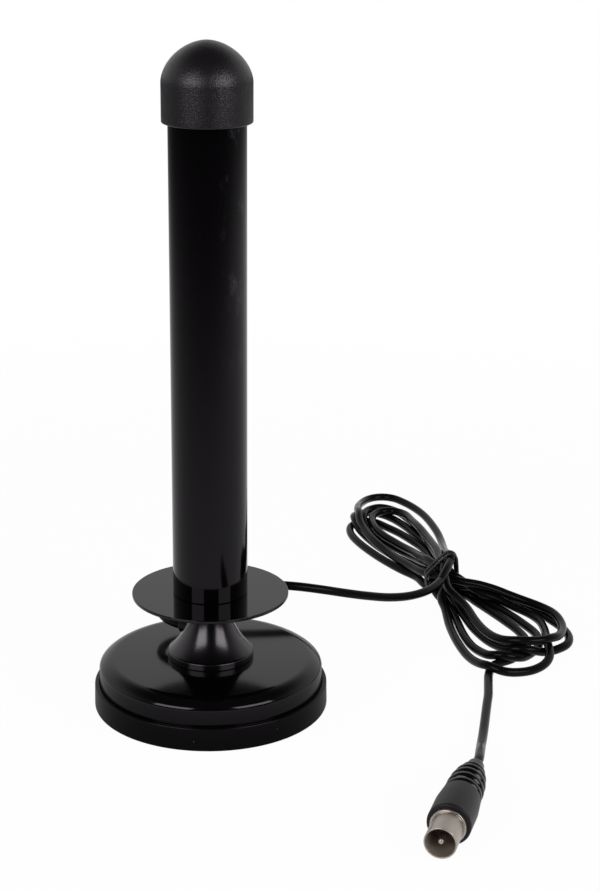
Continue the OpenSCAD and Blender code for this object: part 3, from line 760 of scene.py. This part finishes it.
def sizes_of(group):
    """The group's lengths in millimetres, as attributes."""
    values = {key: getattr(group, key) for key in group.bl_rna.properties.keys()}
    lengths = {key: value / MM for key, value in values.items() if isinstance(value, float)}
    return SimpleNamespace(**lengths)


class ANTENNA_OT_base(Step, bpy.types.Operator):
    """Turns the rubber boot, the steel cover, the trumpet neck and the disc"""

    bl_idname = "antenna.base"
    bl_label = "Base"

    def build(self, scene):
        finish = scene.antenna_finish
        size = sizes_of(scene.antenna_base)
        boot_r, boot_h, floor = size.boot_radius, size.boot_height, size.boot_floor
        bore = size.cover_radius + size.boot_slip
        boot = turned("boot", [
            (0, 0, 0), (boot_r, 0, 0.6), (boot_r - size.boot_lean, boot_h, 0.55), (bore, boot_h, 0.3),
            (bore, floor, 0.2), (0, floor, 0),
        ], closed=False)
        rubber = black("boot_rubber", finish.satin, 0.25, 0.08, dust=0.05, level=0.12)
        stand_for(boot, "base_boot", rubber)
        cover = turned("cover", self.cover(size))
        stand_for(cover, "base_cover", black(
            "cover_paint", finish.gloss, 0.12, 0.03, depth=0.000004, dust=0.004, level=0.25
        ))
        neck = turned("neck_trumpet", self.neck(size))
        stand_for(neck, "neck", black("neck_paint", finish.satin, 0.21, 0.04, level=0.5))
        top, hole = size.disc_top, 4.0
        under = top - size.disc_height
        disc = turned("disc", [
            (hole, under, 0), (size.disc_radius, under, 0.25), (size.disc_radius, top, 0.25), (hole, top, 0),
        ])
        stand_for(disc, "flange_disc", black(
            "disc_paint", finish.gloss, 0.08, 0.03, depth=0.000004, dust=0.003, level=0.3
        ))
        dress(["exit_sleeve"], black("sleeve_rubber", finish.satin, 0.36))

    def crown(self, size):
        """The crown's centre height and end angle, the shoulder's centre, the edge rounding's centre
        and the angle at which the shoulder meets it, each arc being tangent to the next."""
        radius, shoulder, edge = size.crown_radius, size.shoulder_radius, size.edge_radius
        centre = size.crown_top - radius
        flat = math.acos(size.crown_flat / radius)
        x, z = (radius - shoulder) * math.cos(flat), centre + (radius - shoulder) * math.sin(flat)
        edge_x = size.cover_radius - edge
        edge_z = z + math.sqrt((shoulder - edge) ** 2 - (edge_x - x) ** 2)
        lean = math.degrees(math.acos((edge_x - x) / (shoulder - edge)))
        return centre, math.degrees(flat), (x, z), (edge_x, edge_z), lean

    def cover(self, size):
        """The cover's outer line from its foot to the hole in its middle, and the same line a wall
        further in."""
        centre, flat, shoulder, edge, lean = self.crown(size)
        hole = 8.0
        land = math.degrees(math.acos(hole / size.crown_radius))

        def skin(wall):
            return [
                (size.cover_radius - wall, size.boot_floor, 0),
                *arc(*edge, size.edge_radius - wall, 0, lean, 20),
                *arc(*shoulder, size.shoulder_radius - wall, lean, flat, 28)[1:],
                *arc(0, centre, size.crown_radius - wall, flat, land, 8)[1:],
            ]

        return skin(0) + skin(size.cover_wall)[::-1]

    def neck(self, size):
        """The neck's line: spigot, rimmed foot, quarter trumpet curve, throat, and the bore inside."""
        foot, throat, flare = size.foot_radius, size.throat_radius, size.flare_radius
        rounding, rest = 0.45, 14.0
        spigot, spigot_end = 7.8, 9.5
        bore, screw_hole, bore_end = 4.0, 2.5, 21.5
        crown = size.crown_radius
        land = size.crown_top - crown + math.sqrt(crown**2 - rest**2)
        top = size.disc_top - size.disc_height
        rim, mouth = land + size.foot_height, top - 1.2
        start = 180 + math.degrees(math.asin((mouth - rim - rounding) / flare))
        return [
            (spigot, spigot_end, 0), (spigot, land, 0), (foot, land, 0.25),
            *arc(foot - rounding, rim, rounding, 0, 90, 7),
            (throat + flare + flare * math.cos(math.radians(start)) + 0.05, rim + rounding, 0),
            *arc(throat + flare, mouth, flare, start, 180, 48), (throat, top, 0),
            (bore, top, 0), (bore, bore_end, 0), (screw_hole, bore_end, 0), (screw_hole, spigot_end, 0),
        ]


class ANTENNA_OT_mast(Step, bpy.types.Operator):
    """Turns the mast tube and its domed cap"""

    bl_idname = "antenna.mast"
    bl_label = "Mast"

    def build(self, scene):
        finish = scene.antenna_finish
        size = sizes_of(scene.antenna_mast)
        foot = scene.antenna_base.disc_top / MM
        rim, radius, outer = size.cap_rim, size.cap_radius, size.tube_radius
        bore, top, inner = outer - size.tube_wall, rim + size.cap_grip, outer + 0.1
        tube_piece = turned("tube", [
            (bore, foot, 0), (outer, foot, 0.3), (outer, top, 0.2), (bore, top, 0),
        ])
        made = black(
            "tube_plastic", finish.gloss, 0.09, 0.04,
            depth=0.000006, dust=0.006, size=0.05, smear=0.85,
        )
        stand_for(tube_piece, "mast_tube", made)
        dome, high, stop = rim + size.cap_skirt, size.cap_dome, top + 1.5
        power = 2 / scene.antenna_mast.cap_bulge
        turn = np.radians(np.linspace(0, 90, 57))
        wide, tall = np.cos(turn) ** power, np.sin(turn) ** power
        crown = np.column_stack([radius * wide, dome + high * tall, 0 * turn])
        crown[-1, 0] = 0
        cap = turned("cap", [
            *arc(0, dome - 1.5, inner - 0.4, 90, 0, 40), (inner, dome - 1.9, 0), (inner, stop, 0),
            (bore, stop, 0), (bore, top, 0), (inner, top, 0), (inner, rim, 0.2), (radius, rim, 0.45),
            *crown.tolist(),
        ], closed=False)
        stand_for(cap, "end_cap", black(
            "cap_plastic", finish.grained, 0.31, 0.05,
            grain=2600.0, depth=0.0002, dust=0.01, size=0.05, level=0.42,
        ))


class ANTENNA_OT_plug(Step, bpy.types.Operator):
    """Turns the aerial plug: its shell and collar, pin, body and ringed strain relief"""

    bl_idname = "antenna.plug"
    bl_label = "Plug"

    def build(self, scene):
        finish = scene.antenna_finish
        plug = scene.antenna_plug
        size = sizes_of(plug)
        axis = (math.cos(plug.turn), math.sin(plug.turn), 0)
        lie = {"origin": np.array(plug.mouth) / MM, "axis": axis, "sides": 96}
        shell_r, front = size.shell_radius, size.shell_length
        inner, root, rear = shell_r - size.shell_wall, front + 8, front + size.body_length
        collar, step = size.collar_radius, front - size.collar_width
        shell = turned("shell", [
            (shell_r, 0, 0.16), (shell_r, step, 0.12), (collar, step, 0.3), (collar, front, 0.3),
            (shell_r, front, 0), (shell_r, root, 0), (inner, root, 0), (inner, 0, 0.16),
        ], **lie)
        thin, thick, tip, end = 0.75, 1.15, 0.8, 15
        pin = turned("pin", [
            (0, tip, 0), (thin, tip, 0.4), (thick, 2.4, 0.5), (thick, end, 0), (0, end, 0),
        ], closed=False, **lie)
        plating = self.plating(finish, axis, plug.mouth)
        stand_for(shell, "plug_shell", plating)
        stand_for(pin, "plug_pin", plating)
        body = turned("body", [
            (0, root, 0), (shell_r + 0.1, root, 0), (shell_r + 0.1, front, 0.15),
            (size.body_radius, front, 0.7), (size.body_radius, front + 0.62 * size.body_length, 3.0),
            (size.body_rear, rear, 0.35), (0, rear, 0),
        ], closed=False, **lie)
        stand_for(body, "plug_body", black(
            "plug_moulding", finish.body, 0.42, 0.08,
            grain=2400.0, depth=0.00004, dust=0.01, size=0.05, level=0.22,
        ))
        strain = turned("ringed_boot", self.rings(size, plug.rings, rear), closed=False, **lie)
        moulding = black("boot_moulding", finish.satin, 0.14, 0.05, dust=0.01, level=0.35)
        stand_for(strain, "plug_boot", moulding)
        dress(["plug_insulator"], black("insulator_plastic", (0.075, 0.055, 0.045), 0.5, level=0.3))

    def rings(self, size, count, rear):
        """The strain relief's line: after each groove a barrel that falls by 0.35 t^2 + 0.55 t^4 for
        t from -1 to 1 across it, each smaller than the one before, and then the tail."""
        pitch, groove, gap = size.ring_pitch, size.groove, 0.6
        line = [(0, rear, 0)]
        for k in range(count):
            fall = (size.ring_radius - size.ring_end) * (k / (count - 1)) ** 2.6
            r, x = size.ring_radius - fall, rear + k * pitch
            line += [(r - groove, x, 0.1), (r - groove, x + gap, 0.1)]
            for t in np.linspace(-1, 1, 15):
                high = r - 0.35 - 0.55 * t**4 + 0.35 * (1 - t**2)
                line.append((high, x + gap + (pitch - gap) * (1 + t) / 2, 0))
        tail = rear + count * pitch
        end = tail + size.tail
        return line + [(size.ring_end - groove, tail, 0.2), (2.6, end, 1.0), (0, end, 0)]

    def plating(self, finish, axis, mouth):
        """Cloudy dull nickel, with painted shade inside the shell: a brown, less metallic layer beyond the
        pin's radius that darkens towards the shell's root.
        """
        made, paint = material("plug_plating")
        where = paint.place()
        slow = paint.noise(where, 260.0, 4.0, 0.6)
        fine = paint.noise(where, 2200.0, 2.0)
        x, y, z = paint.axes(where)
        east, north, rise = x - mouth[0], y - mouth[1], z - mouth[2]
        along = east * axis[0] + north * axis[1]
        across = east * axis[1] - north * axis[0]
        reach = paint.maths("SQRT", across * across + rise * rise)
        inside = 1.0 - paint.smooth(reach, 0.00436, 0.00452)
        thin = paint.smooth(reach, 0.0013, 0.0016)
        root = paint.smooth(along, 0.001, 0.007)
        # painted shade: brown and less metal inside the shell, deeper towards its root
        shade_film = inside * thin * (0.55 + 0.45 * root)
        cloud = paint.mix(slow, rgba(finish.nickel, 0.82), rgba(finish.nickel, 1.15))
        paint.surface(
            Base_Color=paint.mix(shade_film, cloud, rgba(finish.shell_shade)), Metallic=1.0 - 0.8 * shade_film,
            Roughness=0.22 + 0.2 * slow + 0.2 * shade_film, Normal=paint.bump(fine, 0.00001, 0.5),
        )
        return made


class ANTENNA_OT_inside(Step, bpy.types.Operator):
    """Finishes the pieces inside the base and the mast"""

    bl_idname = "antenna.inside"
    bl_label = "Inside"

    def build(self, scene):
        plain = {
            "ferrite": (["magnet_ring"], (0.06, 0.06, 0.065), 0.6, 0.0),
            "plated_steel": (
                ["yoke_plate", "base_washer", "base_screw", "stud_nut"], (0.55, 0.55, 0.53), 0.3, 1.0
            ),
            "stud_brass": (["tube_stud"], (0.6, 0.42, 0.16), 0.3, 1.0),
            "inner_plastic": (["foot_plug"], (0.02, 0.02, 0.022), 0.45, 0.0),
            "board_laminate": (["element_board"], (0.05, 0.16, 0.07), 0.35, 0.0),
            "board_copper": (["radiator_strip", "ground_strip"], (0.72, 0.35, 0.18), 0.3, 1.0),
            "spacer_foam": (["board_spacer"], (0.6, 0.6, 0.57), 0.85, 0.0),
            "inner_jacket": (["inner_lead"], (0.011, 0.0105, 0.0118), 0.3, 0.0),
        }
        for name, (nodes, colour, rough, metal) in plain.items():
            made, paint = material(name)
            where = paint.place()
            slow = paint.noise(where, 90.0, 4.0)
            fine = paint.noise(where, 1500.0, 3.0)
            paint.surface(
                Base_Color=paint.mix(slow, rgba(colour, 0.8), rgba(colour, 1.15)),
                Metallic=metal, Roughness=rough + 0.15 * (slow - 0.5),
                Normal=paint.bump(fine, 0.00002, 0.6),
            )
            dress(nodes, made)


class ANTENNA_OT_studio(Step, bpy.types.Operator):
    """Lays the pale floor and sets up the room's light and the two front lamps"""

    bl_idname = "antenna.studio"
    bl_label = "Studio"

    def build(self, scene):
        studio = scene.antenna_studio
        self.floor(studio)
        self.room(scene, studio)
        for name, side in (("left lamp", -studio.lamp_side), ("right lamp", studio.lamp_side)):
            data = bpy.data.lights.new(name, "AREA")
            data.shape = "RECTANGLE"
            data.size, data.size_y = studio.lamp_width, studio.lamp_height
            data.energy = studio.lamp_power
            lamp = bpy.data.objects.new(name, data)
            scene.collection.objects.link(lamp)
            level = math.cos(studio.lamp_rise)
            to = Vector((math.sin(side) * level, -math.cos(side) * level, math.sin(studio.lamp_rise)))
            lamp.location = Vector((0, 0, 0.1)) + to * studio.lamp_distance
            lamp.rotation_euler = to.to_track_quat("Z", "Y").to_euler()
        scene.view_settings.view_transform = "Standard"

    def rays(self, paint):
        made = paint.node("LightPath")
        return [paint.out(made, f"Is {ray} Ray") for ray in ("Camera", "Glossy", "Transmission")]

    def floor(self, studio):
        """White to the camera apart from the object's shadow. In gloss it is a painted pool of light that
        fades as 1 / (1 + d^4), where d is the distance from the pool's middle over its reach that way, with
        painted shade that holds it to about a third within 4 centimetres of the object's axis, gone by 9."""
        half = studio.floor / 2
        corners = [(-half, -half, 0), (half, -half, 0), (half, half, 0), (-half, half, 0)]
        floor = mesh_object("floor", corners, [(0, 1, 2, 3)])
        made, paint = material("floor")
        camera, glossy, through = self.rays(paint)
        x, y, _ = paint.axes(paint.place())
        reach = paint.maths("SQRT", x * x + y * y)
        seen = 0.965 + 0.035 * paint.smooth(reach, 0.2, 0.6)
        across, behind = (x - 0.2) / 0.7, y - 0.1
        deep = paint.maths("MAXIMUM", behind / 0.85, behind / -0.46)
        square = across * across + deep * deep
        # painted reflection of a pool of light, with painted shade at the object's foot
        pool = (0.3 + 0.55 * paint.smooth(reach, 0.04, 0.09)) / (1.0 + square * square)
        cloth = paint.out(paint.node("BsdfDiffuse", {}, {"Color": rgba(studio.floor_colour)}))
        tone = paint.mix(glossy, WHITE, paint.mix(pool, BLACK, WHITE))
        # emission: white to the camera, and the painted pool of light and shade in gloss
        white = paint.out(paint.node("Emission", {}, {"Color": tone, "Strength": 1.0}))
        share = paint.maths("MAXIMUM", camera * seen, paint.maths("MAXIMUM", glossy, through))
        both = paint.out(paint.node("MixShader", {}, {0: share, 1: cloth, 2: white}))
        paint.node("OutputMaterial", {}, {"Surface": both})
        floor.data.materials.append(made)

    def room(self, scene, studio):
        """An even light from all round. To the camera it is white. In gloss it is bright behind and
        beside the object, fades between 27 and 58 degrees up, and is dim overhead and in front."""
        world = bpy.data.worlds.new("room")
        scene.world = world
        world.use_nodes = True
        paint = Paint(world.node_tree)
        camera, glossy, through = self.rays(paint)
        _, y, z = paint.axes(paint.out(paint.node("TexCoord"), "Generated"))
        behind = paint.smooth(y, -0.55, 0.45)
        low = 1.0 - paint.smooth(z, 0.45, 0.85)
        mirror = 0.024 + 0.76 * behind * low + 0.032 * paint.smooth(z, 0.6, 0.95)
        lit = glossy * mirror + (1.0 - glossy) * studio.fill
        strength = paint.maths("MAXIMUM", paint.maths("MAXIMUM", camera, through), lit)
        room = paint.out(paint.node("Background", {}, {"Color": WHITE, "Strength": strength}))
        paint.node("OutputWorld", {}, {"Surface": room})


class ANTENNA_PT_panel(bpy.types.Panel):
    """Lists the steps that build the antenna's looks"""

    bl_idname = "ANTENNA_PT_panel"
    bl_label = "Antenna"
    bl_space_type = "VIEW_3D"
    bl_region_type = "UI"
    bl_category = "Antenna"

    def draw(self, context):
        for name in GROUPS:
            group = getattr(context.scene, name)
            for key in group.bl_rna.properties.keys():
                if key not in ("rna_type", "name"):
                    self.layout.prop(group, key)
        for step in STEPS:
            self.layout.operator(step.bl_idname)


GROUPS = {
    "antenna_lead": AntennaLeadSettings,
    "antenna_plug": AntennaPlugSettings,
    "antenna_base": AntennaBaseSettings,
    "antenna_mast": AntennaMastSettings,
    "antenna_finish": AntennaFinishSettings,
    "antenna_studio": AntennaStudioSettings,
}
STEPS = [
    ANTENNA_OT_camera, ANTENNA_OT_plug, ANTENNA_OT_lead, ANTENNA_OT_base, ANTENNA_OT_mast,
    ANTENNA_OT_inside, ANTENNA_OT_studio,
]


CLASSES = (*GROUPS.values(), *STEPS, ANTENNA_PT_panel)


def register():
    for made in CLASSES:
        bpy.utils.register_class(made)
    for key, group in GROUPS.items():
        setattr(bpy.types.Scene, key, PointerProperty(type=group))


def unregister():
    for key in GROUPS:
        delattr(bpy.types.Scene, key)
    for made in reversed(CLASSES):
        bpy.utils.unregister_class(made)


def main():
    register()
    for step in STEPS:
        family, name = step.bl_idname.split(".")
        getattr(getattr(bpy.ops, family), name)()


if __name__ == "__main__":
    main()
